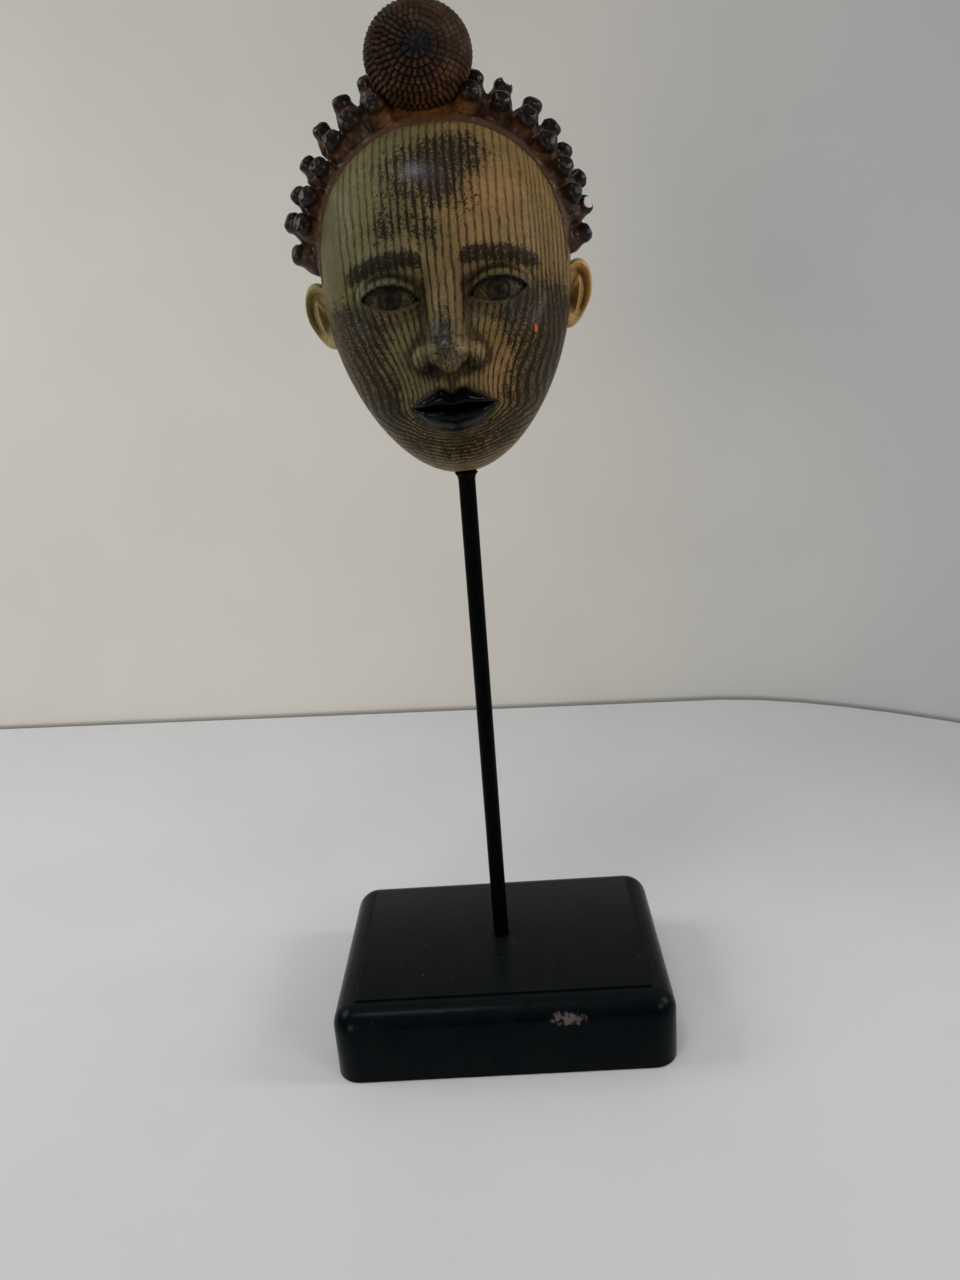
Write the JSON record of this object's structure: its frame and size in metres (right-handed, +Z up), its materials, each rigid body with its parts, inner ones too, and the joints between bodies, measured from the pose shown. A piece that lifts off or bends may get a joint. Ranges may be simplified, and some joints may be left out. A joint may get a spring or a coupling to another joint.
{
  "type": "mask head sculpture on a stand",
  "caption": "Painted mask-like cast head with knotted hair and a coiled bun, held up by a thin rod on a rectangular plinth, as a table decoration.",
  "frame": {"origin": "middle of the plinth's underside, where it stands on the table", "axes": "+Z up along the rod, the face looks along -Y, +X to the right of a viewer who faces it"},
  "size_m": [0.128, 0.092, 0.3606],
  "materials": {
    "head": "cast resin painted in olive and ochre over black, with red-brown glazed hair",
    "rod": "satin black enamel on steel",
    "plinth": "satin black lacquer"
  },
  "bodies": {
    "root": {"head": "head", "rod": "rod", "plinth": "plinth"}
  },
  "joints": []
}
